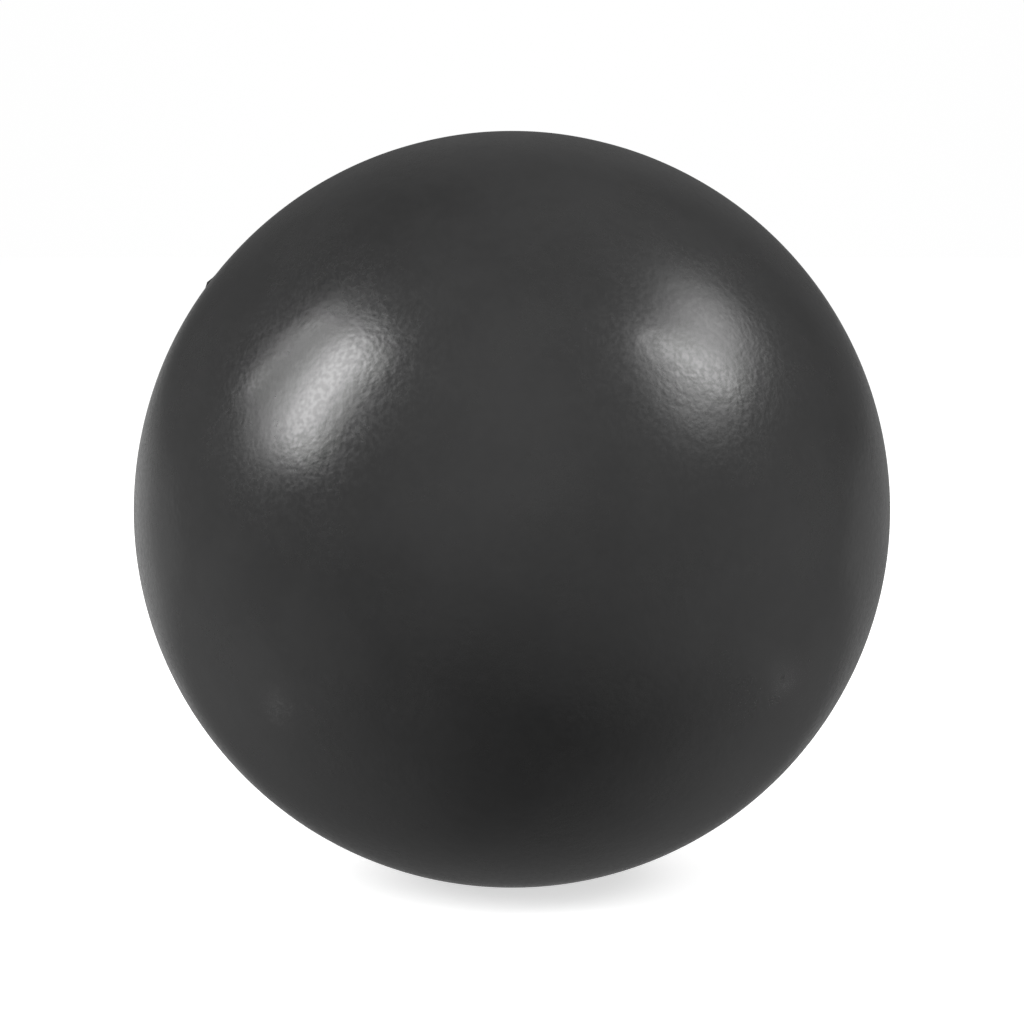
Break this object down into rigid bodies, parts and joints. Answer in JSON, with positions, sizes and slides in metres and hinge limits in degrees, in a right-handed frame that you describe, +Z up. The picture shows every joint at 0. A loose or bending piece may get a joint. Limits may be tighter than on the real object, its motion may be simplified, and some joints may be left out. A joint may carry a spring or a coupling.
{
  "type": "case opening friction ball",
  "caption": "Hollow black rubber friction ball that grips and turns a screw-down watch case back, with a self-sealing needle valve set in a dish.",
  "frame": {"origin": "the ball's centre", "axes": "+Z up, away from the flat that the ball rests on; +Y along the valve, out of its mouth at the back; -Y towards the plain face that is pressed on the watch"},
  "size_m": [0.065, 0.0646, 0.0648],
  "materials": {
    "grip_rubber": "satin",
    "core_rubber": "matte",
    "seam_cement": "satin",
    "seat_rubber": "matte",
    "insert_rubber": "satin"
  },
  "bodies": {
    "root": {"grip_cover": "grip_rubber", "front_core_half": "core_rubber", "rear_core_half": "core_rubber", "core_seam": "seam_cement", "valve_seat": "seat_rubber", "valve_insert": "insert_rubber"}
  },
  "joints": []
}
